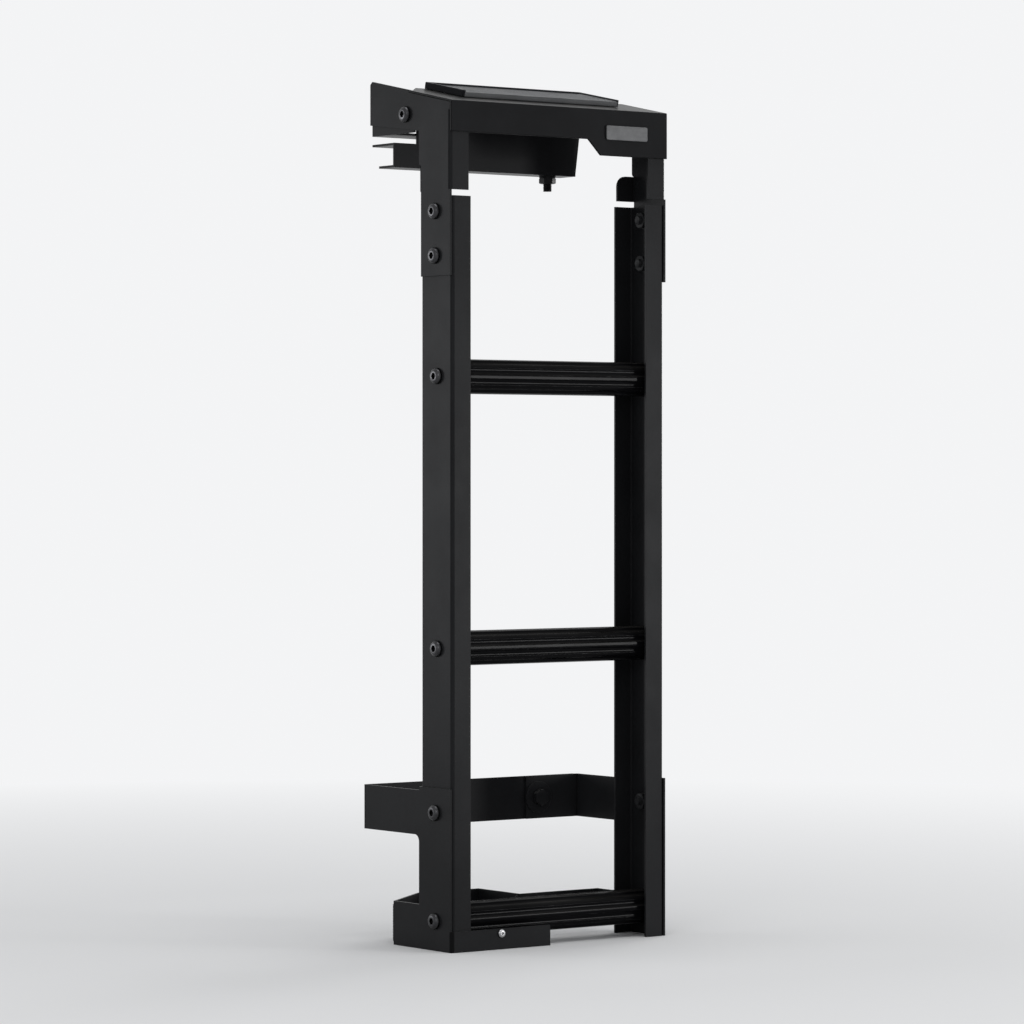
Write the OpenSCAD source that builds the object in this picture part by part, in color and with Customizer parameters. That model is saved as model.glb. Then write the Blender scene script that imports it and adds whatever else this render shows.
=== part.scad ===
// Rear ladder for the back corner of an off-road vehicle.
// Two folded channel rails carry three grip rungs and a raised step tread.
// The head hooks over the roof gutter and clamps it from below.
// A flat strap and an angled foot bolt to the body at the bottom.
// X runs across the ladder, Y forward to the vehicle and Z up.
// The origin lies on the strap's flat face, midway between the rails.

/* [Ladder] */

// Width over the outer faces of the two rails.
ladder_w = 227; // [200:0.1:320]
// Distance from the body face back to the rails' rear faces.
stand_off = 128.5; // [110:0.5:180]
// Distance from the lowest rung's axis down to the rails' lower ends.
rail_tail = 25.1; // [22:0.1:50]
// Height of the rails' upper ends above the strap's middle.
rail_rise = 521; // [480:1:700]

/* [Sheet] */

// Thickness of the folded steel sheet.
sheet = 2; // [1.5:0.5:4]
// Inner radius of the folds.
fold_r = 1; // [0.5:0.5:4]
// Rest gap between pieces that lie against each other.
rest_gap = 0.2; // [0.1:0.1:0.5]

/* [Rails] */

// Depth of a rail from its rear face to its front edge.
rail_depth = 45; // [38:1:60]
// Width of a rail's flanges.
rail_flange = 19.5; // [14:0.5:24]
// Distance from a rail's rear face forward to the line of its bolts and rungs.
bolt_line = 21.5; // [19:0.5:26]

/* [Rungs] */

// Number of rungs between the rails.
rung_count = 3; // [3:1:3]
// Distance from one rung to the next.
rung_pitch = 230; // [215:1:260]
// Height of the upper rung's axis.
upper_rung_z = 369.5; // [360:0.5:400]
// Outer diameter of a rung.
rung_d = 30; // [26:0.5:34]
// Wall thickness of a rung.
rung_wall = 3.5; // [2.5:0.5:5]
// Number of grip grooves around a rung.
groove_count = 10; // [8:1:11]
// Width of a grip groove.
groove_w = 6.2; // [3:0.1:6.3]
// Depth of the grip grooves.
groove_depth = 1.5; // [0.5:0.1:2]
// Length of the threaded plug in each end of a rung.
plug_len = 24; // [16:1:40]

/* [Header] */

// Height of the apron's upper edge.
head_z = 601; // [560:1:800]
// Slope of the top deck as rise for each millimetre forward.
deck_slope = 0.196; // [0.1:0.001:0.3]
// Height of the apron's face.
apron_h = 26.5; // [24:0.5:36]
// Height of the apron's deeper end, where the badge sits.
apron_end_h = 40; // [32:1:60]
// Width of the apron's deeper end at its lower edge.
apron_end_w = 73; // [60:1:90]
// Distance from the body face back to the deck's front edge.
deck_front = 42; // [38:1:46]
// Width of the deck's front edge between its cut corners.
deck_front_w = 180; // [170:1:200]
// Length of the header legs' lap over the rails.
lap_len = 67; // [60:1:90]
// Distance of the lap bolts from the rails' upper ends.
lap_bolt_drops = [12.5, 50];
// Open gap between the header flanges and the rail flanges.
flange_gap = 5; // [3:1:8]
// Height of the header legs' front flange.
front_flange_h = 22; // [18:1:30]

/* [Step tread] */

// Distance from the rails' rear faces forward to the tread.
tread_setback = 25.5; // [18:0.5:28]
// Width of the step tread.
tread_w = 168; // [140:1:176]
// Depth of the step tread.
tread_d = 58; // [50:0.5:60]
// Thickness of the step tread.
tread_t = 4.5; // [3:0.5:8]
// Height of the rim along the tread's front edge and both ends.
tread_rim_h = 1.5; // [1:0.5:4]
// Width of the tread's rim.
tread_rim_w = 3; // [2:0.5:5]
// Number of grip grooves along the tread.
tread_groove_count = 6; // [4:1:8]
// Width of a tread groove.
tread_groove_w = 3.2; // [2:0.1:5]
// Depth of a tread groove.
tread_groove_depth = 1.6; // [1:0.1:3]

/* [Badge plate] */

// Width of the blank plate.
badge_w = 45; // [30:1:46]
// Height of the blank plate.
badge_h = 12.5; // [8:0.5:16]
// Distance from the blank plate to the apron's end.
badge_inset = 23; // [16:1:24]
// Thickness of the blank plate.
badge_t = 1.6; // [1:0.1:3]

/* [Gutter mount] */

// Height of the left arm at its front end.
arm_h = 38; // [34:0.5:40]
// Slope of the left arm's lower edge as rise for each millimetre forward.
arm_slope = 0.125; // [0.1:0.005:0.2]
// Distance from the body face back to the left arm's bolt.
arm_bolt_back = 61; // [56:1:66]
// Depth of the left arm's bolt below the deck's slope.
arm_bolt_drop = 21.5; // [18:0.5:24]
// Distance from the body face back to the arms' front ends.
arm_front = 8; // [4:1:20]
// Height of the rest plate's lower face, where it lies on the gutter.
gutter_top_z = 577.5; // [536:0.5:780]
// Free height of the slot that takes the gutter.
gutter_slot = 7; // [5:0.5:12]
// Distance from the right rail's web to the right end of the clamp bar.
clamp_gap = 27.5; // [24:0.5:50]
// Length that the clamp bar's rear wall gains from its foot to its top at the right end.
clamp_slant = 4.5; // [0:0.5:6]
// Length of the clamp bar's left end, where the gutter passes the wall.
clamp_low_end = 24; // [18:1:30]
// Distance from the body face back to the clamp bar's rear face.
clamp_back = 41; // [38:1:50]
// Height of the clamp bar.
clamp_h = 21; // [16:1:26]
// Height of the clamp bar's rear wall above the rest plate's lower face.
clamp_wall_rise = 8.5; // [6:0.5:12]
// Depth of the clamp bar's lower flange.
clamp_lip = 23; // [20:1:30]
// Distance from the right end of the clamp bar to its bolt.
clamp_bolt_inset = 23; // [20:1:30]
// Distance from the clamp bar's rear wall forward to its bolts.
clamp_bolt_set = 8.8; // [8.5:0.1:10]
// Distance from the right end of the rest plate to the right arm.
arm_inset = 6; // [2:1:6]
// Length of a clamp bolt below the clamp bar's lower face.
clamp_bolt_tail = 13.5; // [11:0.5:20]

/* [Lower mount] */

// Height of the strap.
strap_h = 38; // [30:1:50]
// Height of the side plates above the strap's middle.
side_rise = 22; // [20:1:40]
// Height of the foot.
foot_h = 37.6; // [30:0.1:50]
// Distance from the body face back to the foot's bend.
foot_bend = 46; // [36:1:60]
// Length of the foot's pad on the body.
foot_pad_w = 66; // [50:1:80]
// Distance from the body face back to the foot's cross member.
foot_cross_back = 62; // [50:1:70]
// Height of the foot's cross member.
foot_cross_h = 25; // [18:1:30]
// Height of the rear wrap flange at the bottom.
wrap_h = 17.6; // [12:0.1:24]
// Width of the rear wrap flange.
wrap_w = 104; // [70:1:110]

/* [Holes] */

// Diameter of the holes for the rung and lap bolts.
bolt_hole_d = 8.6; // [6:0.1:11]
// Diameter of the holes that bolt the strap and foot to the body.
body_hole_d = 8.6; // [6:0.1:11]
// Distance from each bracket's outer face to its body hole.
body_hole_inset = 45.7; // [36:0.1:50]
// Length of the right bracket's lap beyond its body hole.
strap_lap_end = 13; // [9:1:16]
// Height of the web bolts above the strap's middle.
web_bolt_z = 1; // [-4:0.5:4]
// Diameter of the screw hole in the rear wrap flange.
wrap_hole_d = 5; // [4:0.5:6]
// Distance of the screw hole below the wrap flange's upper edge.
wrap_hole_drop = 4; // [4:0.5:6]
// Diameter of the clamp bolts.
clamp_bolt_d = 8; // [6:1:10]

/* [Hidden] */

half_w = ladder_w / 2;
rail_drop = rung_pitch * (rung_count - 1) - upper_rung_z + rail_tail;
rail_back = -stand_off;
rail_front = rail_back + rail_depth;
web_y = rail_back + bolt_line;
web_in = half_w - sheet;
outer_in = half_w + rest_gap;
outer_out = outer_in + sheet;

plug_d = rung_d - 2 * rung_wall - 2 * rest_gap;
plug_bore_d = 6.8;
rung_len = 2 * (web_in - rest_gap);

deck_angle = atan(deck_slope);
apron_back = rail_back - rest_gap - sheet;
leg_flange_z = rail_rise + flange_gap;
fold_out = fold_r + sheet;
lap_front = rail_front - fold_out;
leg_flange_end = outer_out - rail_flange;
deck_step = rail_front + 16;
lap_bolt_z = [for (drop = lap_bolt_drops) rail_rise - drop];

tread_back = rail_back + tread_setback;
clamp_bolt_y = -clamp_back + sheet + clamp_bolt_set;
clamp_top_z = gutter_top_z - gutter_slot;
clamp_low_z = clamp_top_z - clamp_h;
clamp_wall_z = gutter_top_z + clamp_wall_rise;
clamp_left = -web_in + rest_gap;
clamp_right = web_in - clamp_gap;
clamp_w = clamp_right - clamp_left;
clamp_bolt_x = clamp_right - clamp_bolt_inset;
rest_back = -clamp_back + sheet + rest_gap;
right_arm_x = clamp_right - arm_inset;
deck_under = sheet + rest_gap;

foot_bend_x = -58;
foot_pad_end = foot_bend_x + foot_pad_w;
foot_bottom = -rail_drop;
foot_top = foot_bottom + foot_h;
strap_low = -strap_h / 2;
strap_high = strap_h / 2;
body_hole_x = outer_out - body_hole_inset;
tab_in = half_w - rail_flange;
wrap_back = rail_back - rest_gap - sheet;
wrap_hole_z = foot_bottom + wrap_h - wrap_hole_drop;

fold_steps = 5;
smooth = 32;
fine = 48;
cut = 1;

// Name of the sub-part to draw, or all.

// Height of the deck's upper face at a place along Y.
function deck_z(y) = head_z + deck_slope * (y - apron_back);

// Height of the left arm's lower edge at a place along Y.
function arm_low_z(y) = deck_z(-arm_front) - arm_h + arm_slope * (y + arm_front);

// Height of the axis of one rung, counted from the lowest.
function rung_z(i) = upper_rung_z - rung_pitch * (rung_count - 1 - i);

// Points of an arc about a centre, from one angle to another.
function arc(c, r, a0, a1, n = fold_steps) =
    [for (i = [0:n]) c + r * [cos(a0 + (a1 - a0) * i / n), sin(a0 + (a1 - a0) * i / n)]];

// Outline of a folded channel whose web lies at x and whose flanges point to the middle.
function channel_points(x, back, front, flange, t, r) =
    let (ro = r + t, xi = x - t)
    concat(
        [[x - flange, back], [x - flange, back + t]],
        arc([xi - r, back + t + r], r, -90, 0),
        arc([xi - r, front - t - r], r, 0, 90),
        [[x - flange, front - t], [x - flange, front]],
        arc([xi - r, front - t - r], ro, 90, 0),
        arc([xi - r, back + t + r], ro, 0, -90)
    );

module powder() {
    color([0.07, 0.075, 0.085]) children();
}

module zinc() {
    color([0.34, 0.34, 0.36]) children();
}

// Puts a shape on the right as drawn, or on the left by mirroring it.
module on_side(side) {
    if (side < 0) mirror([1, 0, 0]) children();
    else children();
}

// Drills along X through a plate on the right at a place in Y and Z.
module x_hole(y, z, d, x0, x1) {
    translate([x0 - cut, y, z]) rotate([0, 90, 0]) cylinder(d = d, h = x1 - x0 + 2 * cut, $fn = smooth);
}

// Drills along Y at a place in X and Z.
module y_hole(x, z, d, y0, y1) {
    translate([x, y1 + cut, z]) rotate([90, 0, 0]) cylinder(d = d, h = y1 - y0 + 2 * cut, $fn = smooth);
}

// Flat plate that stands in the Y and Z plane between two places along X.
module yz_plate(x0, x1, points) {
    translate([x0, 0, 0]) rotate([90, 0, 90]) linear_extrude(x1 - x0) polygon(points);
}

// Flat plate that stands in the X and Z plane between two places along Y.
module xz_plate(y0, y1, points) {
    translate([0, y1, 0]) rotate([90, 0, 0]) linear_extrude(y1 - y0) polygon(points);
}

// Folded channel rail with a rounded grip edge and holes for its bolts.
module rail(side) {
    powder() on_side(side) difference() {
        translate([0, 0, -rail_drop]) linear_extrude(rail_rise + rail_drop)
            polygon(channel_points(half_w, rail_back, rail_front, rail_flange, sheet, fold_r));
        for (i = [0:rung_count - 1])
            x_hole(web_y, rung_z(i), bolt_hole_d, web_in, half_w);
        for (z = lap_bolt_z)
            x_hole(web_y, z, bolt_hole_d, web_in, half_w);
        x_hole(web_y, web_bolt_z, bolt_hole_d, web_in, half_w);
    }
}

// Grooved grip tube between the rails.
module rung(i) {
    groove_r = (groove_w * groove_w / 4 + groove_depth * groove_depth) / (2 * groove_depth);
    powder() translate([-rung_len / 2, web_y, rung_z(i)]) rotate([90, 0, 90])
        linear_extrude(rung_len) difference() {
            circle(d = rung_d, $fn = 80);
            circle(d = rung_d - 2 * rung_wall, $fn = fine);
            for (k = [0:groove_count - 1])
                rotate((k + 0.5) * 360 / groove_count) translate([rung_d / 2 - groove_depth + groove_r, 0])
                    circle(r = groove_r, $fn = smooth);
        }
}

// Threaded plug pressed into one end of a rung.
module rung_plug(i, side) {
    zinc() on_side(side) translate([rung_len / 2 - plug_len, web_y, rung_z(i)]) rotate([0, 90, 0])
        difference() {
            cylinder(d = plug_d, h = plug_len, $fn = fine);
            translate([0, 0, -cut]) cylinder(d = plug_bore_d, h = plug_len + 2 * cut, $fn = smooth);
        }
}

// Folded angle in plan, from a place on the leg round the corner to its other end.
function corner_points(leg_y, end_x, face_y) =
    let (cx = outer_out - fold_out, cy = face_y - fold_out)
    concat(
        [[end_x, face_y]],
        arc([cx, cy], fold_out, 90, 0),
        [[outer_out, leg_y], [outer_in, leg_y]],
        arc([cx, cy], fold_r, 0, 90),
        [[end_x, face_y - sheet]]
    );

// Header leg that laps a rail's web, turns in at both edges and carries the deck.
module header_leg(side) {
    lap_z = rail_rise - lap_len;
    back_z = head_z - 8;
    front_z = leg_flange_z + front_flange_h;
    tip_r = 9;
    powder() on_side(side) difference() {
        union() {
            yz_plate(outer_in, outer_out, concat(
                [[rail_back, lap_z], [lap_front, lap_z]],
                arc([lap_front, front_z + fold_out], fold_out, -90, 0),
                [[rail_front, deck_z(rail_front) - deck_under],
                 [rail_back, deck_z(rail_back) - deck_under],
                 [rail_back, back_z], [rail_back + fold_out, back_z],
                 [rail_back + fold_out, leg_flange_z], [rail_back, leg_flange_z]]
            ));
            translate([0, 0, leg_flange_z]) linear_extrude(back_z - leg_flange_z) mirror([0, 1, 0])
                polygon(corner_points(-rail_back - fold_out - cut, leg_flange_end, -rail_back));
            intersection() {
                translate([0, 0, leg_flange_z]) linear_extrude(front_flange_h)
                    polygon(corner_points(lap_front - cut, leg_flange_end, rail_front));
                xz_plate(lap_front - 2 * cut, rail_front + cut, concat(
                    [[leg_flange_end, leg_flange_z], [outer_out, leg_flange_z], [outer_out, front_z]],
                    arc([leg_flange_end + tip_r, front_z - tip_r], tip_r, 90, 180)
                ));
            }
        }
        for (z = lap_bolt_z)
            x_hole(web_y, z, bolt_hole_d, outer_in, outer_out);
    }
}

// Folded cover with the sloping deck on top and the apron at the rear.
module top_deck() {
    z_mid = head_z - apron_h;
    z_end = head_z - apron_end_h;
    x_step = outer_out - apron_end_w;
    deck_end = -deck_front;
    fold_z = head_z - fold_r;
    seam = 0.5;
    trim_h = 60;
    powder() union() {
        xz_plate(apron_back, apron_back + sheet, [
            [-outer_out, z_mid],
            [x_step - (z_mid - z_end), z_mid],
            [x_step, z_end],
            [outer_out, z_end],
            [outer_out, fold_z],
            [-outer_out, fold_z]
        ]);
        intersection() {
            yz_plate(-outer_out, outer_out, concat(
                [[apron_back, fold_z - seam]],
                [[apron_back, fold_z]],
                arc([apron_back + fold_r, fold_z], fold_r, 180, 90 + deck_angle),
                [[deck_end, deck_z(deck_end)],
                 [deck_end, deck_z(deck_end) - sheet],
                 [apron_back + sheet, deck_z(apron_back + sheet) - sheet],
                 [apron_back + sheet, fold_z - seam]]
            ));
            translate([0, 0, head_z - trim_h / 2]) linear_extrude(trim_h) polygon([
                [-outer_out, apron_back - cut],
                [outer_out, apron_back - cut],
                [outer_out, deck_step],
                [outer_in - sheet - 2 * rest_gap, deck_step],
                [deck_front_w / 2, deck_end],
                [-deck_front_w / 2, deck_end],
                [-outer_in + sheet + 2 * rest_gap, deck_step],
                [-outer_out, deck_step]
            ]);
        }
    }
}

// Grooved tread that sits proud on the deck, with a low rim on three sides.
module step_tread() {
    pitch = (tread_d - 2 * tread_rim_w) / tread_groove_count;
    bevel = 2;
    groove_inset = 8;
    groove_low = tread_t - tread_groove_depth;
    color([0.16, 0.165, 0.17]) translate([-tread_w / 2, tread_back, deck_z(tread_back) + rest_gap])
        rotate([deck_angle, 0, 0]) difference() {
            linear_extrude(tread_t + tread_rim_h) polygon(concat(
                arc([bevel, bevel], bevel, 180, 270),
                arc([tread_w - bevel, bevel], bevel, 270, 360),
                arc([tread_w - bevel, tread_d - bevel], bevel, 0, 90),
                arc([bevel, tread_d - bevel], bevel, 90, 180)
            ));
            translate([tread_rim_w, -cut, tread_t])
                cube([tread_w - 2 * tread_rim_w, tread_d - tread_rim_w + cut, tread_rim_h + cut]);
            for (k = [0:tread_groove_count - 1])
                translate([groove_inset, tread_rim_w + pitch * (k + 0.5) - tread_groove_w / 2, groove_low])
                    cube([tread_w - 2 * groove_inset, tread_groove_w, tread_groove_depth + cut]);
        }
}

// Blank plate on the apron's deeper end.
module badge_plate() {
    corner_r = 1.5;
    x0 = outer_out - badge_inset - badge_w;
    z0 = head_z - apron_end_h / 2 - badge_h / 2;
    color([0.42, 0.42, 0.43]) xz_plate(apron_back - rest_gap - badge_t, apron_back - rest_gap, concat(
        arc([x0 + corner_r, z0 + corner_r], corner_r, 180, 270, 3),
        arc([x0 + badge_w - corner_r, z0 + corner_r], corner_r, 270, 360, 3),
        arc([x0 + badge_w - corner_r, z0 + badge_h - corner_r], corner_r, 0, 90, 3),
        arc([x0 + corner_r, z0 + badge_h - corner_r], corner_r, 90, 180, 3)
    ));
}

// Left arm that laps the header leg and reaches forward over the gutter.
module left_gutter_arm() {
    y0 = rail_back + fold_out;
    y1 = -arm_front;
    step = deck_step + rest_gap;
    nick = 3;
    powder() difference() {
        yz_plate(-half_w, -web_in, [
            [y0, arm_low_z(y0)],
            [y1, arm_low_z(y1)],
            [y1, deck_z(y1) - nick],
            [y1 - nick, deck_z(y1 - nick)],
            [step, deck_z(step)],
            [step, deck_z(step) - deck_under],
            [y0, deck_z(y0) - deck_under]
        ]);
        mirror([1, 0, 0]) arm_bolt_hole(web_in, half_w);
    }
}

// Hole for the bolt that joins the left arm and the rest plate's tab.
module arm_bolt_hole(x0, x1) {
    x_hole(-arm_bolt_back, deck_z(-arm_bolt_back) - arm_bolt_drop, bolt_hole_d, x0, x1);
}

// Right arm under the deck, near the right end of the rest plate.
module right_gutter_arm() {
    wall_top = clamp_wall_z + rest_gap;
    low = gutter_top_z + sheet + rest_gap;
    powder() yz_plate(right_arm_x - sheet, right_arm_x, [
        [rail_front, wall_top],
        [rest_back, wall_top],
        [rest_back, low],
        [-arm_front, low],
        [-arm_front, deck_z(-deck_front) - deck_under],
        [-deck_front, deck_z(-deck_front) - deck_under],
        [rail_front, deck_z(rail_front) - deck_under]
    ]);
}

// Plate that lies on the gutter, with a tab turned up along the left arm.
module gutter_rest_plate() {
    tab_edge = 9;
    tab_back = -arm_bolt_back - tab_edge;
    tab_top = deck_z(-arm_bolt_back) - arm_bolt_drop + tab_edge;
    powder() difference() {
        union() {
            translate([clamp_left, rest_back, gutter_top_z])
                cube([clamp_w, -arm_front - rest_back, sheet]);
            yz_plate(clamp_left, clamp_left + sheet, [
                [tab_back, gutter_top_z],
                [-arm_front, gutter_top_z],
                [-arm_front, tab_top - tab_edge],
                [-arm_front - tab_edge, tab_top],
                [tab_back, tab_top]
            ]);
        }
        mirror([1, 0, 0]) arm_bolt_hole(-clamp_left - sheet, -clamp_left);
        for (side = [-1, 1])
            clamp_hole(side, gutter_top_z);
    }
}

// Hole for a clamp bolt through a sheet whose lower face lies at z.
module clamp_hole(side, z) {
    translate([side * clamp_bolt_x, clamp_bolt_y, z - cut])
        cylinder(d = bolt_hole_d, h = sheet + 2 * cut, $fn = smooth);
}

// Folded channel below the gutter, drawn up by the two clamp bolts.
module gutter_clamp_bar() {
    inner_top = clamp_top_z - sheet;
    inner_low = clamp_low_z + sheet;
    powder() difference() {
        union() {
            yz_plate(clamp_left, clamp_left + clamp_w, [
                [-clamp_back, clamp_low_z],
                [-clamp_back + clamp_lip, clamp_low_z],
                [-clamp_back + clamp_lip, inner_low],
                [-clamp_back + sheet, inner_low],
                [-clamp_back + sheet, inner_top],
                [-arm_front, inner_top],
                [-arm_front, clamp_top_z],
                [-clamp_back, clamp_top_z]
            ]);
            xz_plate(-clamp_back, -clamp_back + sheet, [
                [clamp_left + clamp_low_end, inner_low],
                [clamp_right, inner_low],
                [clamp_right + clamp_slant, clamp_wall_z],
                [clamp_left + clamp_low_end, clamp_wall_z]
            ]);
        }
        for (side = [-1, 1])
            for (z = [clamp_low_z, inner_top])
                clamp_hole(side, z);
    }
}

// Bolt that hangs from the rest plate, with the nut that draws the bar up.
module clamp_bolt(side) {
    head_d = 14;
    head_h = 4;
    nut_w = 13;
    nut_h = 6.5;
    low = clamp_low_z - clamp_bolt_tail;
    high = gutter_top_z + sheet + rest_gap;
    powder() translate([side * clamp_bolt_x, clamp_bolt_y, 0]) union() {
        translate([0, 0, high]) cylinder(d = head_d, h = head_h, $fn = smooth);
        translate([0, 0, low]) cylinder(d = clamp_bolt_d, h = high - low + cut, $fn = smooth);
        translate([0, 0, clamp_low_z - rest_gap - nut_h])
            cylinder(d = nut_w / cos(30), h = nut_h, $fn = 6);
    }
}

// Side plate with the strap's leg, seen from the side, up to the corner fold.
function side_points(leg_end, foot) =
    let (r = 6, wrap_end = wrap_back + fold_out)
    concat(
        foot ? [[wrap_end, foot_bottom], [-foot_bend, foot_bottom],
                [-foot_bend, foot_top], [rail_front, foot_top]]
             : [[rail_back, foot_bottom], [rail_front, foot_bottom]],
        arc([rail_front + r, strap_low - r], r, 180, 90),
        [[leg_end, strap_low], [leg_end, strap_high], [rail_front, strap_high],
         [rail_front, side_rise], [rail_back, side_rise]],
        foot ? [[rail_back, foot_bottom + wrap_h], [wrap_end, foot_bottom + wrap_h]] : []
    );

// Left lower bracket: side plate, strap across the body, foot arm and rear wrap.
module left_lower_bracket() {
    leg_end = -fold_out;
    powder() difference() {
        union() {
            yz_plate(-outer_out, -outer_in, side_points(leg_end, true));
            translate([0, 0, strap_low]) linear_extrude(strap_h) mirror([1, 0, 0])
                polygon(corner_points(leg_end, -outer_out + 2 * sheet, 0));
            translate([0, 0, foot_bottom]) linear_extrude(wrap_h) mirror([1, 0, 0]) mirror([0, 1, 0])
                polygon(corner_points(-wrap_back - fold_out - cut, outer_out - wrap_w, -wrap_back));
        }
        mirror([1, 0, 0]) x_hole(web_y, web_bolt_z, bolt_hole_d, outer_in, outer_out);
        mirror([1, 0, 0]) x_hole(web_y, rung_z(0), bolt_hole_d, outer_in, outer_out);
        for (side = [-1, 1])
            y_hole(side * body_hole_x, 0, body_hole_d, -sheet, 0);
        y_hole(wrap_w / 2 - outer_out, wrap_hole_z, wrap_hole_d, wrap_back, rail_back);
    }
}

// Right lower bracket: side plate, leg and lap behind the strap.
module right_lower_bracket() {
    face_y = -sheet - rest_gap;
    leg_end = face_y - fold_out;
    powder() difference() {
        union() {
            yz_plate(outer_in, outer_out, side_points(leg_end, false));
            translate([0, 0, strap_low]) linear_extrude(strap_h)
                polygon(corner_points(leg_end, body_hole_x - strap_lap_end, face_y));
        }
        x_hole(web_y, web_bolt_z, bolt_hole_d, outer_in, outer_out);
        x_hole(web_y, rung_z(0), bolt_hole_d, outer_in, outer_out);
        y_hole(body_hole_x, 0, body_hole_d, face_y - sheet, face_y);
    }
}

// Angled foot that reaches the body, lies flat on it and turns back.
module foot_bracket() {
    y0 = -foot_bend + rest_gap;
    angle = atan2(-y0, foot_bend_x + outer_out);
    powder() difference() {
        translate([0, 0, foot_bottom]) linear_extrude(foot_h) polygon([
            [-outer_out, y0],
            [foot_bend_x, 0],
            [foot_pad_end, 0],
            [foot_pad_end, -foot_cross_back + sheet],
            [foot_pad_end - sheet, -foot_cross_back + sheet],
            [foot_pad_end - sheet, -sheet],
            [foot_bend_x + sheet * tan(angle / 2), -sheet],
            [-outer_out + sheet / sin(angle), y0]
        ]);
        y_hole((foot_bend_x + foot_pad_end) / 2, (foot_bottom + foot_top) / 2, body_hole_d, -sheet, 0);
    }
}

// Cross member from the foot's return to the right rail's front flange.
module foot_cross_member() {
    y1 = -foot_cross_back + sheet - rest_gap;
    y0 = y1 - sheet;
    tab_y = rail_front + rest_gap;
    powder() translate([0, 0, foot_top - foot_cross_h]) linear_extrude(foot_cross_h) polygon([
        [foot_pad_end - sheet, y0],
        [tab_in - sheet, y0],
        [tab_in - sheet, tab_y],
        [half_w, tab_y],
        [half_w, tab_y + sheet],
        [tab_in, tab_y + sheet],
        [tab_in, y1],
        [foot_pad_end - sheet, y1]
    ]);
}

rail(-1);  // left_rail
rail(1);  // right_rail
rung(0);  // lower_rung
rung(1);  // middle_rung
rung(2);  // upper_rung
rung_plug(0, -1);  // lower_left_plug
rung_plug(0, 1);  // lower_right_plug
rung_plug(1, -1);  // middle_left_plug
rung_plug(1, 1);  // middle_right_plug
rung_plug(2, -1);  // upper_left_plug
rung_plug(2, 1);  // upper_right_plug
header_leg(-1);  // left_header_leg
header_leg(1);  // right_header_leg
top_deck();
step_tread();
badge_plate();
left_gutter_arm();
right_gutter_arm();
gutter_rest_plate();
gutter_clamp_bar();
clamp_bolt(-1);  // left_clamp_bolt
clamp_bolt(1);  // right_clamp_bolt
left_lower_bracket();
right_lower_bracket();
foot_bracket();
foot_cross_member();
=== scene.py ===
import math

import bmesh
import bpy
from mathutils import Matrix, Vector


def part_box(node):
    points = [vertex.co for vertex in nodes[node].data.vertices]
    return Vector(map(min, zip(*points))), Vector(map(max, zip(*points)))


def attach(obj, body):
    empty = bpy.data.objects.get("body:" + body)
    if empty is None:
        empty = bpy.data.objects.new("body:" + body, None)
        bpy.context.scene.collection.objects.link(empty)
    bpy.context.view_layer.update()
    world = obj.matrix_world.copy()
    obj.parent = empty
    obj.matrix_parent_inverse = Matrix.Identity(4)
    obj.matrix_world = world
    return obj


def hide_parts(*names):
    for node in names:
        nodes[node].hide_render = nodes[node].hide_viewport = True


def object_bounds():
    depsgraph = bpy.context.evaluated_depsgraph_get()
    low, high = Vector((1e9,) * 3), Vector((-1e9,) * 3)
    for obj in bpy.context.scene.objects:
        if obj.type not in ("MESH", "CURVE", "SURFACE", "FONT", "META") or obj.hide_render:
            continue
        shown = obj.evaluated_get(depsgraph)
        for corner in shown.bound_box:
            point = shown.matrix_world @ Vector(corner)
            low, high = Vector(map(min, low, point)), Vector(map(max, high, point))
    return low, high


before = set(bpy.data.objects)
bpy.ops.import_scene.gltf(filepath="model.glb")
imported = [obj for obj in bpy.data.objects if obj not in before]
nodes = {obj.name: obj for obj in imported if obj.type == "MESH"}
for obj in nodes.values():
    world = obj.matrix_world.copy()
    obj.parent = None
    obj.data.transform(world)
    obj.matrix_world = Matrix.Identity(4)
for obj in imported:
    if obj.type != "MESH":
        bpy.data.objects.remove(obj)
cad_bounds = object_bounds()

MM = 0.001

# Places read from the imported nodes
left_rail_low, left_rail_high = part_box("left_rail")
header_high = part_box("right_header_leg")[1]
bracket_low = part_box("left_lower_bracket")[0]
foot_low, foot_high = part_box("foot_bracket")
cross_low, cross_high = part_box("foot_cross_member")
right_arm_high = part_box("right_gutter_arm")[1]
rest_low, rest_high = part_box("gutter_rest_plate")
clamp_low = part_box("gutter_clamp_bar")[0]
tread_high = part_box("step_tread")[1]

RUNGS = ("lower", "middle", "upper")
rung_axis = {}
for rung_name in RUNGS:
    rung_low, rung_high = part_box(rung_name + "_rung")
    rung_axis[rung_name] = (rung_low + rung_high) / 2

# Sides of the rails and brackets, and the bolts' places on them
SHEET = 2 * MM
BOLT_LINE_Y = rung_axis["lower"].y
RAIL_X = -left_rail_low.x
OUTER_X = header_high.x
WEB_IN = RAIL_X - SHEET
LAP_BOLT_DROPS = (12.5 * MM, 50 * MM)
BRACKET_BOLT_Z = 1 * MM
ARM_BOLT_Y = -61 * MM
ARM_BOLT_Z = 593.2 * MM
BODY_HOLE_X = OUTER_X - 45.7 * MM
FOOT_HOLE_X = foot_high.x - 33 * MM
FOOT_HOLE_Z = (foot_low.z + foot_high.z) / 2
FOOT_SEAM_Y = -45.9 * MM
WRAP_HOLE_X = 52 * MM - OUTER_X
WRAP_HOLE_Z = foot_low.z + 13.6 * MM

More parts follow.
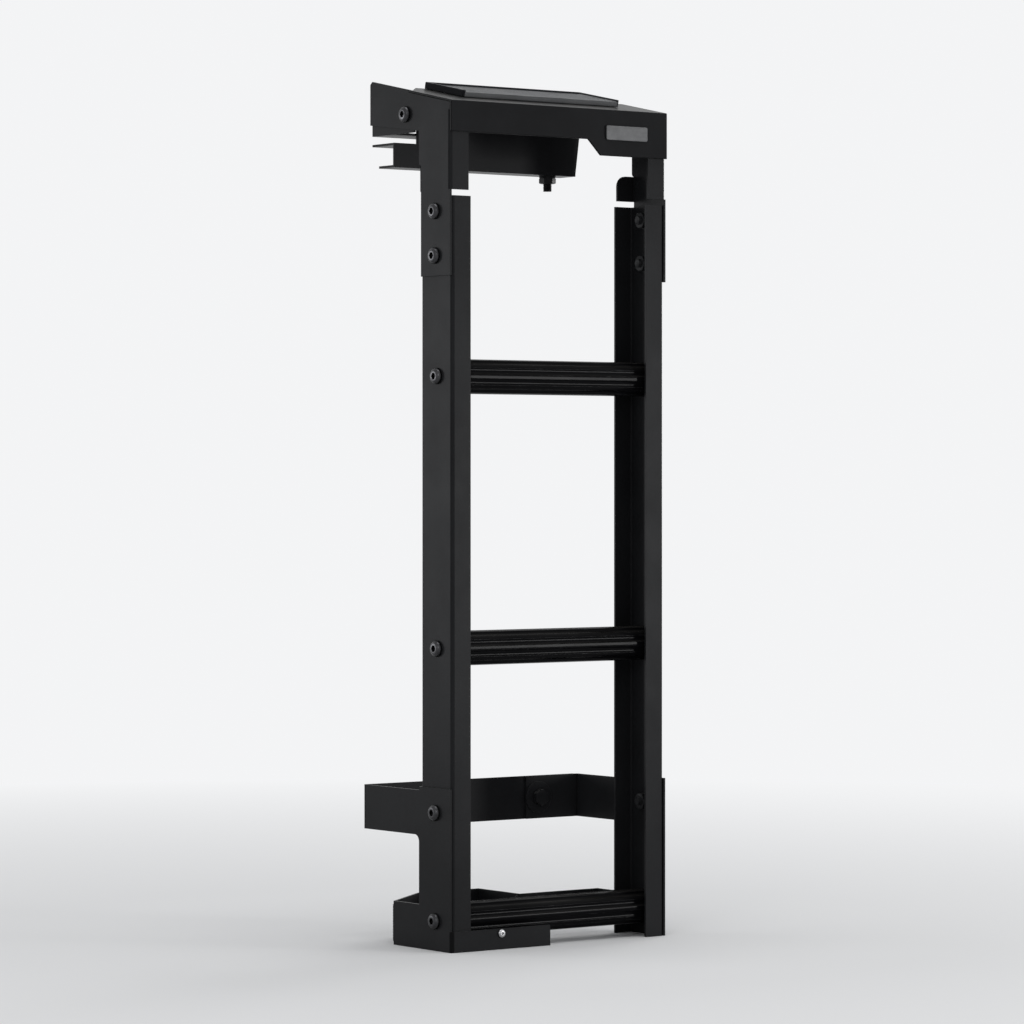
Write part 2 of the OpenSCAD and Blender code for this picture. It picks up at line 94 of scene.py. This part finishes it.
# Sizes of the fasteners
ROUND = 48
BOLT_R = 4 * MM
SHANK_R = BOLT_R * 0.92
HEAD_R = 7 * MM
HEAD_H = 4.2 * MM
HEAD_KEY = 5 * MM
NUT_FLAT = 13 * MM
NUT_CHAMFER = 0.965
NUT_CROWN = 0.62
PITCH = 1.25 * MM
WASHER_EDGE = 0.25 * MM
NUT_WASHER_R = 8 * MM
WIDE_WASHER_R = 14 * MM
CLAMP_WASHER_R = 7.4 * MM
DOME_STEPS = 8

# Shades that the finishes share
# Dust colour, which also paints light onto upper sides
DUST_AND_TOP_LIGHT = (0.22, 0.21, 0.19)
# Worn coat colour, which is also a painted sheen on every rounded edge
WORN_COAT_AND_SHEEN = (0.045, 0.045, 0.046)
# Near-black painted shade for the folds and the deck's apron
PAINTED_FOLD_SHADE = (0.002, 0.002, 0.002)
MATT_ROUGHNESS = 0.80


# Materials

def empty_tree(owner):
    owner.use_nodes = True
    owner.node_tree.nodes.clear()
    return owner.node_tree


def new_material(name):
    material = bpy.data.materials.new(name)
    tree = empty_tree(material)
    output = tree.nodes.new("ShaderNodeOutputMaterial")
    shader = tree.nodes.new("ShaderNodeBsdfPrincipled")
    tree.links.new(shader.outputs["BSDF"], output.inputs["Surface"])
    return material, tree, shader


def object_coords(tree, scale=(1, 1, 1)):
    coords = tree.nodes.new("ShaderNodeTexCoord")
    mapping = tree.nodes.new("ShaderNodeMapping")
    mapping.inputs["Scale"].default_value = scale
    tree.links.new(coords.outputs["Object"], mapping.inputs["Vector"])
    return mapping.outputs["Vector"]


def noise(tree, vector, scale, detail=3, rough=0.55):
    node = tree.nodes.new("ShaderNodeTexNoise")
    node.inputs["Scale"].default_value = scale
    node.inputs["Detail"].default_value = detail
    node.inputs["Roughness"].default_value = rough
    tree.links.new(vector, node.inputs["Vector"])
    return node.outputs["Fac"]


def remap(tree, value, source, target):
    node = tree.nodes.new("ShaderNodeMapRange")
    node.inputs["From Min"].default_value = source[0]
    node.inputs["From Max"].default_value = source[1]
    node.inputs["To Min"].default_value = target[0]
    node.inputs["To Max"].default_value = target[1]
    tree.links.new(value, node.inputs["Value"])
    return node.outputs["Result"]


def fill_socket(tree, socket, value):
    if isinstance(value, tuple):
        socket.default_value = (*value, 1)
    elif isinstance(value, (int, float)):
        socket.default_value = value
    else:
        tree.links.new(value, socket)


def maths(tree, operation, a, b):
    node = tree.nodes.new("ShaderNodeMath")
    node.operation = operation
    node.use_clamp = True
    fill_socket(tree, node.inputs[0], a)
    fill_socket(tree, node.inputs[1], b)
    return node.outputs["Value"]


def mix_color(tree, factor, a, b):
    node = tree.nodes.new("ShaderNodeMix")
    node.data_type = "RGBA"
    tree.links.new(factor, node.inputs["Factor"])
    fill_socket(tree, node.inputs[6], a)
    fill_socket(tree, node.inputs[7], b)
    return node.outputs[2]


def mix_value(tree, factor, a, b):
    node = tree.nodes.new("ShaderNodeMix")
    node.data_type = "FLOAT"
    tree.links.new(factor, node.inputs["Factor"])
    fill_socket(tree, node.inputs[2], a)
    fill_socket(tree, node.inputs[3], b)
    return node.outputs[0]


def add_bump(tree, shader, layers):
    previous = None
    for height, strength, distance in layers:
        node = tree.nodes.new("ShaderNodeBump")
        node.inputs["Strength"].default_value = strength
        node.inputs["Distance"].default_value = distance
        tree.links.new(height, node.inputs["Height"])
        if previous is not None:
            tree.links.new(previous, node.inputs["Normal"])
        previous = node.outputs["Normal"]
    tree.links.new(previous, shader.inputs["Normal"])


def upward(tree):
    geometry = tree.nodes.new("ShaderNodeNewGeometry")
    split = tree.nodes.new("ShaderNodeSeparateXYZ")
    tree.links.new(geometry.outputs["Normal"], split.inputs["Vector"])
    return split.outputs["Z"]


def face_mask(tree, name):
    node = tree.nodes.new("ShaderNodeAttribute")
    node.attribute_name = name
    return node.outputs["Fac"]


# Coat with a fine grain, dust and painted light on its upper sides, worn edges with a painted sheen,
# and matt folds with painted shade
def powder_material(name, dark, light, roughness, grain, specular, texture):
    material, tree, shader = new_material(name)
    vector = object_coords(tree)
    cloud = noise(tree, vector, scale=14, detail=4)
    fine = noise(tree, vector, scale=grain, detail=2, rough=0.6)
    peel = noise(tree, vector, scale=grain / 6, detail=2)
    chips = noise(tree, vector, scale=95, detail=5, rough=0.7)
    base = mix_color(tree, remap(tree, cloud, (0.35, 0.65), (0, 1)), dark, light)
    speck = remap(tree, fine, (0.58, 0.72), (0, 0.35))
    base = mix_color(tree, speck, base, tuple(1.9 * channel for channel in light))
    # Dust and painted light: upward faces are lightened
    top_dust_and_light = remap(tree, upward(tree), (0.5, 1), (0, 0.10))
    patches = remap(tree, cloud, (0.3, 0.7), (0.3, 1))
    base = mix_color(tree, maths(tree, "MULTIPLY", top_dust_and_light, patches), base, DUST_AND_TOP_LIGHT)
    # Wear chips and a painted sheen: every bevel of the coat is lightened a little
    edge_amount = remap(tree, chips, (0.54, 0.62), (0.05, 0.6))
    edge = maths(tree, "MULTIPLY", face_mask(tree, "bevel_faces"), edge_amount)
    base = mix_color(tree, edge, base, WORN_COAT_AND_SHEEN)
    # Painted shade: folds and the apron are darkened towards near black
    painted_shade = maths(tree, "MULTIPLY", face_mask(tree, "fold"), 0.6)
    base = mix_color(tree, painted_shade, base, PAINTED_FOLD_SHADE)
    tree.links.new(base, shader.inputs["Base Color"])
    satin = remap(tree, noise(tree, vector, scale=32, detail=4), (0.3, 0.7), roughness)
    matt = mix_value(tree, face_mask(tree, "fold"), satin, MATT_ROUGHNESS)
    tree.links.new(matt, shader.inputs["Roughness"])
    shader.inputs["Specular IOR Level"].default_value = specular
    add_bump(tree, shader, ((peel, 0.30 * texture, 0.12 * MM), (fine, 0.45 * texture, 0.08 * MM)))
    return material


def rubber_material():
    material, tree, shader = new_material("tread_grip_finish")
    vector = object_coords(tree)
    cloud = noise(tree, vector, scale=30, detail=4)
    fine = noise(tree, vector, scale=1100, detail=3, rough=0.65)
    patches = remap(tree, cloud, (0.3, 0.7), (0, 1))
    base = mix_color(tree, patches, (0.058, 0.060, 0.063), (0.082, 0.084, 0.088))
    edge_amount = remap(tree, cloud, (0.45, 0.6), (0.1, 0.5))
    edge = maths(tree, "MULTIPLY", face_mask(tree, "bevel_faces"), edge_amount)
    base = mix_color(tree, edge, base, (0.15, 0.15, 0.15))
    # Painted shade: the tread's outer sides and rim are darkened to near black
    base = mix_color(tree, face_mask(tree, "rim"), base, (0.012, 0.012, 0.014))
    tree.links.new(base, shader.inputs["Base Color"])
    satin = remap(tree, fine, (0.3, 0.7), (0.30, 0.44))
    matt = mix_value(tree, face_mask(tree, "rim"), satin, MATT_ROUGHNESS)
    tree.links.new(matt, shader.inputs["Roughness"])
    shader.inputs["Specular IOR Level"].default_value = 0.12
    add_bump(tree, shader, ((fine, 0.6, 0.12 * MM),))
    return material


def brushed_material():
    material, tree, shader = new_material("blank_plate_finish")
    streak = noise(tree, object_coords(tree, (8, 400, 1500)), scale=2, detail=4, rough=0.7)
    cloud = noise(tree, object_coords(tree), scale=90, detail=3)
    patches = remap(tree, cloud, (0.35, 0.65), (0, 1))
    base = mix_color(tree, patches, (0.056, 0.057, 0.059), (0.076, 0.077, 0.079))
    tree.links.new(base, shader.inputs["Base Color"])
    brushed = remap(tree, streak, (0.3, 0.7), (0.30, 0.52))
    tree.links.new(brushed, shader.inputs["Roughness"])
    shader.inputs["Metallic"].default_value = 0.6
    add_bump(tree, shader, ((streak, 0.25, 0.04 * MM),))
    return material


def zinc_material():
    material, tree, shader = new_material("zinc_steel_finish")
    vector = object_coords(tree)
    cloud = noise(tree, vector, scale=160, detail=4)
    fine = noise(tree, vector, scale=2600, detail=2)
    patches = remap(tree, cloud, (0.35, 0.7), (0, 1))
    base = mix_color(tree, patches, (0.055, 0.055, 0.058), (0.032, 0.032, 0.034))
    base = mix_color(tree, face_mask(tree, "bright"), base, (0.42, 0.42, 0.43))
    tree.links.new(base, shader.inputs["Base Color"])
    satin = remap(tree, cloud, (0.3, 0.7), (0.18, 0.34))
    tree.links.new(satin, shader.inputs["Roughness"])
    shader.inputs["Metallic"].default_value = 1
    add_bump(tree, shader, ((fine, 0.15, 0.02 * MM),))
    return material


FINISH = {
    "black_powder_coat": powder_material(
        "black_powder_coat_finish", dark=(0.0115, 0.0117, 0.0126), light=(0.0155, 0.0158, 0.0170),
        roughness=(0.32, 0.37), grain=1300, specular=0.05, texture=1),
    "rung_coat": powder_material(
        "rung_coat_finish", dark=(0.0020, 0.0020, 0.0024), light=(0.0040, 0.0040, 0.0046),
        roughness=(0.13, 0.18), grain=1700, specular=0.030, texture=0.10),
    "tread_grip": rubber_material(),
    "blank_plate": brushed_material(),
    "zinc_steel": zinc_material(),
}


# Meshes

def mesh_from(bm, name):
    mesh = bpy.data.meshes.new(name)
    bm.to_mesh(mesh)
    bm.free()
    return mesh


def link_object(name, data):
    obj = bpy.data.objects.new(name, data)
    bpy.context.scene.collection.objects.link(obj)
    return obj


def face_values(mesh, name, values):
    attribute = mesh.attributes.new(name, "FLOAT", "FACE")
    attribute.data.foreach_set("value", values)


def add_piece(name, mesh, slot):
    obj = link_object(name, mesh)
    mesh.materials.append(FINISH[slot])
    mesh.polygons.foreach_set("use_smooth", [True] * len(mesh.polygons))
    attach(obj, "root")
    return obj


# Copy of a node's mesh without double points and needless edges
def clean_copy(node):
    bm = bmesh.new()
    bm.from_mesh(nodes[node].data)
    bmesh.ops.remove_doubles(bm, verts=bm.verts, dist=0.002 * MM)
    bmesh.ops.dissolve_degenerate(bm, edges=bm.edges, dist=0.001 * MM)
    bmesh.ops.dissolve_limit(
        bm, angle_limit=math.radians(0.4), verts=bm.verts, edges=bm.edges, delimit=set())
    bmesh.ops.recalc_face_normals(bm, faces=bm.faces)
    return bm


# Least area of a flat side, cosines that part two sides, and the apron's share of the matt finish and
# painted shade
FLAT_AREA = 60 * MM * MM
SAME_SIDE = 0.998
TURNED_AWAY = 0.99
APRON_SHADE_AND_MATT = 0.4


# Faces that turn away from the piece's flat sides, and its rear if that is matt too; these get a matt
# finish and painted shade
def mark_folds(mesh, rear_shade_and_matt):
    flats = []
    for face in mesh.polygons:
        if face.area > FLAT_AREA and all(face.normal.dot(flat) < SAME_SIDE for flat in flats):
            flats.append(face.normal.copy())
    values = []
    for face in mesh.polygons:
        value = float(all(face.normal.dot(flat) < TURNED_AWAY for flat in flats))
        if face.normal.y < -TURNED_AWAY:
            value = max(value, rear_shade_and_matt)
        values.append(value)
    face_values(mesh, "fold", values)


# Piece with its sharp edges rounded, which stands for its CAD node
def coated_piece(node, slot, radius, segments=2, sharp=32):
    bm = clean_copy(node)
    limit = math.radians(sharp)
    edges = [e for e in bm.edges if len(e.link_faces) == 2 and e.calc_face_angle(0) > limit]
    made = bmesh.ops.bevel(
        bm, geom=edges, offset=radius, offset_type="OFFSET", segments=segments, profile=0.5,
        affect="EDGES", clamp_overlap=True)
    for face in made["faces"]:
        face.material_index = 1
    mesh = mesh_from(bm, node + "_coated")
    face_values(mesh, "bevel_faces", [float(face.material_index) for face in mesh.polygons])
    mesh.polygons.foreach_set("material_index", [0] * len(mesh.polygons))
    if slot == "black_powder_coat":
        mark_folds(mesh, APRON_SHADE_AND_MATT if node == "top_deck" else 0)
    obj = add_piece(node + "_coated", mesh, slot)
    modifier = obj.modifiers.new("weighted normals", "WEIGHTED_NORMAL")
    modifier.keep_sharp = True
    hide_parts(node)
    return obj


# Radius of a hexagon at an angle, from its width over flats
def hexagon(angle, flat):
    step = math.radians(60)
    return flat / 2 / math.cos((angle + step / 2) % step - step / 2)


# Rings of (z, radius or radius function) joined into one skin along +Z
def skin(bm, rings, count=ROUND, caps=True):
    loops = []
    for z, radius in rings:
        loop = []
        for i in range(count):
            angle = 2 * math.pi * i / count
            r = radius(angle) if callable(radius) else radius
            loop.append(bm.verts.new((r * math.cos(angle), r * math.sin(angle), z)))
        loops.append(loop)
    for a, b in zip(loops, loops[1:]):
        for i in range(count):
            j = (i + 1) % count
            bm.faces.new((a[i], a[j], b[j], b[i]))
    if caps:
        bm.faces.new(list(reversed(loops[0])))
        bm.faces.new(loops[-1])
    return loops


# Rounded head with a hexagon socket, and its shank
def button_head(bm, radius=HEAD_R, height=HEAD_H, key=HEAD_KEY, shank=6 * MM, shank_r=SHANK_R):
    rim_h = 0.7 * MM
    rim_edge = 0.3 * MM
    fillet = 0.4 * MM
    flat_r = 0.74 * key
    mouth_z = 0.94 * height
    floor_z = 0.38 * height
    tip_z = 0.24 * height
    rings = [(-shank, shank_r), (-rim_edge, shank_r), (0, shank_r + fillet)]
    rings += [(0, radius - rim_edge), (0.25 * MM, radius), (rim_h, radius)]
    for i in range(1, DOME_STEPS + 1):
        t = math.radians(90 * i / DOME_STEPS)
        rings.append((rim_h + (height - rim_h) * math.sin(t), flat_r + (radius - flat_r) * math.cos(t)))
    rings.append((height, lambda angle: hexagon(angle, key * 1.1)))
    rings.append((mouth_z, lambda angle: hexagon(angle, key)))
    rings.append((floor_z, lambda angle: hexagon(angle, key)))
    rings.append((tip_z, fillet))
    skin(bm, rings)


def washer(bm, inner, outer, z0, z1):
    edge = WASHER_EDGE
    rings = [
        (z0 + edge, inner), (z0, inner + edge), (z0, outer - edge), (z0 + edge, outer),
        (z1 - edge, outer), (z1, outer - edge), (z1, inner + edge), (z1 - edge, inner),
    ]
    loops = skin(bm, rings, caps=False)
    for i in range(ROUND):
        j = (i + 1) % ROUND
        bm.faces.new((loops[-1][i], loops[-1][j], loops[0][j], loops[0][i]))


# Nut or bolt head with six flats and chamfered corners
def hex_body(bm, flat, z0, z1):
    corner = flat / 2 / math.cos(math.radians(30))
    crown = (corner - flat / 2) * NUT_CROWN
    steps = (0.15, 0.45, 0.75, 1)

    def outline(limit):
        return lambda angle: min(hexagon(angle, flat), limit)

    def widened(t):
        return outline(flat / 2 + (corner - flat / 2) * t)

    rings = [(z0, outline(flat / 2 * NUT_CHAMFER))]
    rings += [(z0 + crown * t, widened(t)) for t in steps]
    rings += [(z1 - crown * t, widened(t)) for t in reversed(steps)]
    rings.append((z1, outline(flat / 2 * NUT_CHAMFER)))
    skin(bm, rings)


# Screw thread that fades out at its upper end
def thread(bm, z0, z1):
    depth = 0.6 * PITCH
    fade_length = 0.8 * PITCH
    taper = 0.5 * MM
    turn_steps = 6
    steps = max(2, int(round((z1 - z0) / PITCH * turn_steps)))

    def profile(z):
        fade = min(1, (z1 - z) / fade_length)

        def radius_at(angle):
            phase = (z / PITCH - angle / (2 * math.pi)) % 1
            return BOLT_R - depth * abs(2 * phase - 1) - (1 - fade) * taper
        return radius_at

    heights = [z0 + (z1 - z0) * i / steps for i in range(steps + 1)]
    skin(bm, [(z, profile(z)) for z in heights], count=ROUND // 2)


def place(bm, where, axis):
    turn = Vector((0, 0, 1)).rotation_difference(Vector(axis)).to_matrix().to_4x4()
    bm.transform(Matrix.Translation(where) @ turn)


def fastener(name, where, axis, build, slot="zinc_steel"):
    bm = bmesh.new()
    build(bm)
    place(bm, where, axis)
    bmesh.ops.recalc_face_normals(bm, faces=bm.faces)
    mesh = mesh_from(bm, name)
    mesh.validate()
    obj = add_piece(name, mesh, slot)
    mesh.set_sharp_from_angle(angle=math.radians(35))
    return obj


# Sheet, tube and tread pieces
SHEET_NODES = (
    "left_rail", "right_rail", "left_header_leg", "right_header_leg", "top_deck",
    "left_gutter_arm", "right_gutter_arm", "gutter_rest_plate", "gutter_clamp_bar",
    "left_lower_bracket", "right_lower_bracket", "foot_bracket", "foot_cross_member",
)
SHEET_EDGE_R = 0.55 * MM
RUNG_EDGE_R = 0.25 * MM
PLUG_EDGE_R = 0.4 * MM
TREAD_EDGE_R = 0.7 * MM
BADGE_EDGE_R = 0.35 * MM

for node in SHEET_NODES:
    coated_piece(node, "black_powder_coat", SHEET_EDGE_R, segments=3)
for rung_name in RUNGS:
    coated_piece(rung_name + "_rung", "rung_coat", RUNG_EDGE_R, sharp=40)
    for side in ("left", "right"):
        coated_piece(rung_name + "_" + side + "_plug", "zinc_steel", PLUG_EDGE_R)
tread = coated_piece("step_tread", "tread_grip", TREAD_EDGE_R, segments=3)
coated_piece("badge_plate", "blank_plate", BADGE_EDGE_R)


# Outer sides and low rim of the tread, with painted shade that makes them darker than its top
def mark_rim(mesh):
    rim_w = 3 * MM
    end_slack = 0.02 * MM
    rim_slack = 0.05 * MM
    front_slack = 2 * MM
    front_facing = 0.7
    values = []
    for face in mesh.polygons:
        from_end = tread_high.x - abs(face.center.x)
        outside = from_end < end_slack or face.normal.y > front_facing
        on_end = from_end < rim_w + rim_slack
        on_front = tread_high.y - face.center.y < rim_w + front_slack
        values.append(float(outside or on_end or on_front))
    face_values(mesh, "rim", values)


mark_rim(tread.data)


# Nut on its washer, with the bolt's end
def nut_with_tail(bm):
    washer_t = 1.5 * MM
    nut_top = 8 * MM
    washer(bm, BOLT_R + 0.3 * MM, NUT_WASHER_R, 0, washer_t)
    hex_body(bm, NUT_FLAT, washer_t, nut_top)
    thread(bm, nut_top - 0.5 * MM, nut_top + 2.5 * MM)


# Bolts through the rails, header legs and brackets
def side_bolts(side, sign):
    outward = (sign, 0, 0)
    inward = (-sign, 0, 0)
    for rung_name in RUNGS:
        face = OUTER_X if rung_name == "lower" else RAIL_X
        spot = Vector((sign * face, BOLT_LINE_Y, rung_axis[rung_name].z))
        fastener(side + "_" + rung_name + "_rung_bolt", spot, outward, button_head)
    heights = {
        "upper_lap": left_rail_high.z - LAP_BOLT_DROPS[0],
        "lower_lap": left_rail_high.z - LAP_BOLT_DROPS[1],
        "bracket": BRACKET_BOLT_Z,
    }
    for label, z in heights.items():
        head_spot = Vector((sign * OUTER_X, BOLT_LINE_Y, z))
        nut_spot = Vector((sign * WEB_IN, BOLT_LINE_Y, z))
        fastener(side + "_" + label + "_bolt", head_spot, outward, button_head)
        fastener(side + "_" + label + "_nut", nut_spot, inward, nut_with_tail, "black_powder_coat")


side_bolts("left", -1)
side_bolts("right", 1)

arm_head_spot = Vector((-RAIL_X, ARM_BOLT_Y, ARM_BOLT_Z))
arm_nut_spot = Vector((rest_low.x + SHEET, ARM_BOLT_Y, ARM_BOLT_Z))
fastener("arm_bolt", arm_head_spot, (-1, 0, 0), button_head)
fastener("arm_nut", arm_nut_spot, (1, 0, 0), nut_with_tail, "black_powder_coat")


# Bolt through the strap or the foot, on a wide washer
def body_bolt(bm):
    washer_t = 1.8 * MM
    head_top = 7.1 * MM
    shank_end = -1.8 * MM
    washer(bm, BOLT_R + 0.4 * MM, WIDE_WASHER_R, 0, washer_t)
    skin(bm, [(shank_end, SHANK_R), (washer_t + 0.1 * MM, SHANK_R)])
    hex_body(bm, NUT_FLAT, washer_t, head_top)


LAP_GAP = 0.2 * MM
body_bolt_spots = {
    "right_strap_bolt": Vector((BODY_HOLE_X, -2 * SHEET - LAP_GAP, 0)),
    "left_strap_bolt": Vector((-BODY_HOLE_X, -SHEET, 0)),
    "foot_bolt": Vector((FOOT_HOLE_X, -SHEET, FOOT_HOLE_Z)),
}
for name, spot in body_bolt_spots.items():
    fastener(name, spot, (0, -1, 0), body_bolt, "black_powder_coat")


# Small bright screw in the rear wrap flange
def wrap_screw(bm):
    button_head(bm, radius=3.6 * MM, height=2.2 * MM, key=2.4 * MM, shank=3 * MM, shank_r=2.3 * MM)


screw_spot = Vector((WRAP_HOLE_X, bracket_low.y, WRAP_HOLE_Z))
screw = fastener("wrap_screw", screw_spot, (0, -1, 0), wrap_screw)
face_values(screw.data, "bright", [1.0] * len(screw.data.polygons))


# Clamp bolt with a rounded head, thread, washer and nut
def clamp_bolt(name):
    low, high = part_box(name)
    centre = (low + high) / 2
    head_z = high.z - 4 * MM
    rim_edge = 0.3 * MM
    rim_z = head_z + 0.8 * MM
    dome_h = 3.2 * MM
    nut_h = 5.1 * MM
    washer_low = clamp_low.z - 1.6 * MM
    washer_high = clamp_low.z - 0.1 * MM

    def build(bm):
        rings = [(head_z, BOLT_R), (head_z, HEAD_R - rim_edge)]
        rings += [(head_z + rim_edge, HEAD_R), (rim_z, HEAD_R)]
        for i in range(1, DOME_STEPS):
            t = math.radians(90 * i / DOME_STEPS)
            rings.append((rim_z + dome_h * math.sin(t), HEAD_R * math.cos(t)))
        rings.append((high.z, 0.2 * MM))
        skin(bm, rings)
        thread(bm, low.z, head_z + 0.2 * MM)
        washer(bm, BOLT_R + 0.2 * MM, CLAMP_WASHER_R, washer_low, washer_high)
        hex_body(bm, NUT_FLAT, washer_low - nut_h, washer_low)

    spot = Vector((centre.x, centre.y, 0))
    obj = fastener(name + "_detailed", spot, (0, 0, 1), build, "black_powder_coat")
    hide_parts(name)


clamp_bolt("left_clamp_bolt")
clamp_bolt("right_clamp_bolt")


# Rippled weld bead in a corner where sheet pieces meet
def weld(name, start, end):
    bead_r = 2.2 * MM
    ripple = 2.4 * MM
    ripple_steps = 5
    start = Vector(start)
    end = Vector(end)
    length = (end - start).length
    steps = max(6, int(length / (ripple / ripple_steps)))
    rings = []
    for i in range(steps + 1):
        z = length * i / steps
        wave = 0.92 + 0.10 * abs(math.sin(math.pi * z / ripple))
        ease = min(1, min(z, length - z) / bead_r + 0.25)
        rings.append((z, bead_r * wave * math.sqrt(ease)))
    bm = bmesh.new()
    skin(bm, rings, count=10)
    place(bm, start, (end - start).normalized())
    bmesh.ops.recalc_face_normals(bm, faces=bm.faces)
    add_piece(name, mesh_from(bm, name), "black_powder_coat")


seam_x = SHEET - OUTER_X
seam_inset = 2 * MM
weld("foot_seam_weld",
     (seam_x, FOOT_SEAM_Y, foot_low.z + seam_inset),
     (seam_x, FOOT_SEAM_Y, foot_high.z - seam_inset))
pad_x = foot_high.x - SHEET
pad_inset = 1 * MM
weld("cross_member_weld",
     (pad_x, foot_low.y, cross_low.z + pad_inset),
     (pad_x, foot_low.y, cross_high.z - pad_inset))
rest_top = rest_low.z + SHEET
arm_seam_rear = rest_low.y + 34 * MM
arm_seam_front = rest_high.y - 2 * MM
weld("right_arm_weld",
     (right_arm_high.x, arm_seam_rear, rest_top),
     (right_arm_high.x, arm_seam_front, rest_top))


# Floor and light
CENTRE = Vector((0, -0.06, 0.254))
BACKGROUND = (0.90, 0.905, 0.915)
SKY_LIGHT = (0.95, 0.97, 1)
FLOOR_COLOR = (0.80, 0.80, 0.80)
FLOOR_RADIUS = 9
FADE_FROM = 0.45
FADE_TO = 1.9


# Rays that show the pale backdrop
def backdrop_ray(tree):
    path = tree.nodes.new("ShaderNodeLightPath")
    first = maths(tree, "MAXIMUM", path.outputs["Is Camera Ray"], path.outputs["Is Glossy Ray"])
    return maths(tree, "MAXIMUM", first, path.outputs["Is Transmission Ray"])


def mix_shaders(tree, factor, first, second, output):
    mix = tree.nodes.new("ShaderNodeMixShader")
    tree.links.new(factor, mix.inputs[0])
    tree.links.new(first.outputs[0], mix.inputs[1])
    tree.links.new(second.outputs[0], mix.inputs[2])
    tree.links.new(mix.outputs[0], output.inputs["Surface"])


# Floor that fades into the backdrop away from the object
def floor_material():
    material = bpy.data.materials.new("studio_floor_finish")
    tree = empty_tree(material)
    output = tree.nodes.new("ShaderNodeOutputMaterial")
    diffuse = tree.nodes.new("ShaderNodeBsdfDiffuse")
    diffuse.inputs["Color"].default_value = (*FLOOR_COLOR, 1)
    glow = tree.nodes.new("ShaderNodeEmission")
    glow.inputs["Color"].default_value = (*BACKGROUND, 1)
    coords = tree.nodes.new("ShaderNodeTexCoord")
    length = tree.nodes.new("ShaderNodeVectorMath")
    length.operation = "LENGTH"
    tree.links.new(coords.outputs["Object"], length.inputs[0])
    fade = remap(tree, length.outputs["Value"], (FADE_FROM, FADE_TO), (0, 1))
    factor = maths(tree, "MULTIPLY", fade, backdrop_ray(tree))
    mix_shaders(tree, factor, diffuse, glow, output)
    return material


def build_floor():
    bm = bmesh.new()
    bmesh.ops.create_circle(bm, cap_ends=True, radius=FLOOR_RADIUS, segments=96)
    bm.transform(Matrix.Translation((CENTRE.x, CENTRE.y, cad_bounds[0][2])))
    floor = link_object("studio_floor", mesh_from(bm, "studio_floor"))
    floor.data.materials.append(floor_material())


def build_world(strength):
    world = bpy.data.worlds.new("studio_world")
    bpy.context.scene.world = world
    tree = empty_tree(world)
    output = tree.nodes.new("ShaderNodeOutputWorld")
    lit = tree.nodes.new("ShaderNodeBackground")
    lit.inputs["Color"].default_value = (*SKY_LIGHT, 1)
    lit.inputs["Strength"].default_value = strength
    seen = tree.nodes.new("ShaderNodeBackground")
    seen.inputs["Color"].default_value = (*BACKGROUND, 1)
    seen.inputs["Strength"].default_value = 1
    mix_shaders(tree, backdrop_ray(tree), lit, seen, output)


def aim_at_centre(obj, where):
    obj.location = where
    obj.rotation_euler = (CENTRE - Vector(where)).to_track_quat("-Z", "Y").to_euler()


def soft_lamp(name, where, size, power, color=(1, 1, 1)):
    data = bpy.data.lights.new(name, "AREA")
    data.shape = "RECTANGLE"
    data.size = size[0]
    data.size_y = size[1]
    data.energy = power
    data.color = color
    aim_at_centre(link_object(name, data), where)


build_floor()
build_world(strength=0.42)
soft_lamp("key_light", (1.75, -2.45, 0.25), size=(0.45, 0.7), power=20)
soft_lamp("left_light", (-2.23, 2.69, 0.45), size=(1.0, 0.9), power=14, color=(0.97, 0.98, 1))
soft_lamp("front_light", (3.1, 1.2, 0.9), size=(1.4, 1.4), power=34)
soft_lamp("fill_light", (-3.0, -2.6, 1.5), size=(1.4, 1.4), power=12)
soft_lamp("top_light", (0, -0.3, 3.0), size=(1.8, 1.8), power=34)


# Camera at the photograph's place, with a longer lens
def build_camera():
    data = bpy.data.cameras.new("camera")
    data.sensor_width = 36
    data.lens = 150
    data.clip_end = 60
    camera = link_object("camera", data)
    aim_at_centre(camera, (-2.2072, -3.035, 0.285))
    bpy.context.scene.camera = camera


build_camera()
bpy.context.scene.view_settings.view_transform = "Standard"
